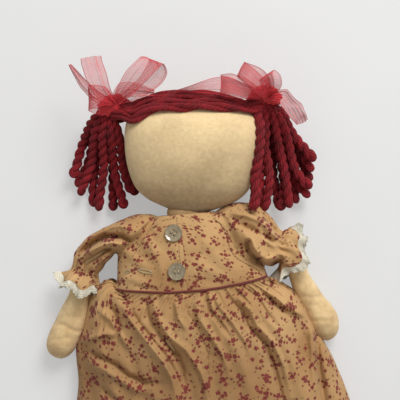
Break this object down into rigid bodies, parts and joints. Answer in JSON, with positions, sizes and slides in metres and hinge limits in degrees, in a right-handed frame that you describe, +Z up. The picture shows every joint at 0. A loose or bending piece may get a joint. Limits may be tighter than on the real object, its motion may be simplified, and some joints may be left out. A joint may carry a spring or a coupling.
{
  "type": "rag doll",
  "caption": "Faceless stuffed rag doll lying on its back, with yarn pigtails, tulle bows and a long gathered calico dress; head, arms, legs and pigtails move at their seams.",
  "frame": {"origin": "on the flat back of the skirt, on the doll's centre line, where the doll lies on the surface", "axes": "+Y towards the head, +Z up from the surface towards the face, +X towards the doll's own left"},
  "size_m": [0.2394, 0.4838, 0.0593],
  "materials": {
    "muslin": "matte tea-stained cotton muslin",
    "calico": "matte tan calico with a small burgundy floral print",
    "yarn": "thick twisted crimson yarn",
    "tulle": "sheer red tulle",
    "lace": "cream cotton lace",
    "trim": "dark red-brown corded seam",
    "button": "translucent grey-brown, four holes"
  },
  "bodies": {
    "body": {"torso": "muslin", "bodice_front_left": "calico", "bodice_front_right": "calico", "bodice_back": "calico", "skirt": "calico", "waist_piping": "trim", "button_upper": "button", "button_lower": "button"},
    "head": {"head": "muslin", "crown_strand_1": "yarn", "crown_strand_2": "yarn", "crown_strand_3": "yarn", "crown_strand_4": "yarn", "crown_strand_5": "yarn", "crown_strand_6": "yarn", "crown_strand_7": "yarn", "crown_strand_8": "yarn", "bow_left": "tulle", "bow_right": "tulle"},
    "pigtail_left": {"pigtail_left_strand_01": "yarn", "pigtail_left_strand_02": "yarn", "pigtail_left_strand_03": "yarn", "pigtail_left_strand_04": "yarn", "pigtail_left_strand_05": "yarn", "pigtail_left_strand_06": "yarn", "pigtail_left_strand_07": "yarn", "pigtail_left_strand_08": "yarn", "pigtail_left_strand_09": "yarn", "pigtail_left_strand_10": "yarn", "pigtail_left_strand_11": "yarn", "pigtail_left_strand_12": "yarn", "pigtail_left_strand_13": "yarn"},
    "pigtail_right": {"pigtail_right_strand_01": "yarn", "pigtail_right_strand_02": "yarn", "pigtail_right_strand_03": "yarn", "pigtail_right_strand_04": "yarn", "pigtail_right_strand_05": "yarn", "pigtail_right_strand_06": "yarn", "pigtail_right_strand_07": "yarn", "pigtail_right_strand_08": "yarn", "pigtail_right_strand_09": "yarn"},
    "arm_left": {"arm_left": "muslin", "sleeve_left": "calico", "cuff_lace_left": "lace"},
    "arm_right": {"arm_right": "muslin", "sleeve_right": "calico", "cuff_lace_right": "lace"},
    "leg_left": {"leg_left": "muslin"},
    "leg_right": {"leg_right": "muslin"}
  },
  "joints": [
    {"name": "neck_nod", "type": "hinge", "parent": "body", "child": "head", "pos_m": [0, 0.13, 0.0245], "axis": [1, 0, 0], "range_deg": [-20, 40]},
    {"name": "shoulder_left", "type": "hinge", "parent": "body", "child": "arm_left", "pos_m": [0.0463, 0.11, 0.0235], "axis": [-1, 0, 0], "range_deg": [-60, 90], "deforming": ["sleeve_left"]},
    {"name": "shoulder_right", "type": "hinge", "parent": "body", "child": "arm_right", "pos_m": [-0.0463, 0.11, 0.0235], "axis": [-1, 0, 0], "range_deg": [-60, 90], "deforming": ["sleeve_right"]},
    {"name": "hip_right", "type": "hinge", "parent": "body", "child": "leg_right", "pos_m": [-0.024, -0.0055, 0.019], "axis": [-1, 0, 0], "range_deg": [-10, 90], "deforming": ["skirt"]},
    {"name": "hip_left", "type": "hinge", "parent": "body", "child": "leg_left", "pos_m": [0.024, -0.0055, 0.019], "axis": [-1, 0, 0], "range_deg": [-10, 90]},
    {"name": "pigtail_left", "type": "hinge", "parent": "head", "child": "pigtail_left", "pos_m": [0.068, 0.21, 0.03], "axis": [0, 0, 1], "range_deg": [0, 70]},
    {"name": "pigtail_right", "type": "hinge", "parent": "head", "child": "pigtail_right", "pos_m": [-0.05, 0.213, 0.03], "axis": [0, 0, -1], "range_deg": [0, 70]}
  ],
  "couplings": [
    {"joint": "hip_left", "follows": "hip_right", "ratio": 1}
  ]
}
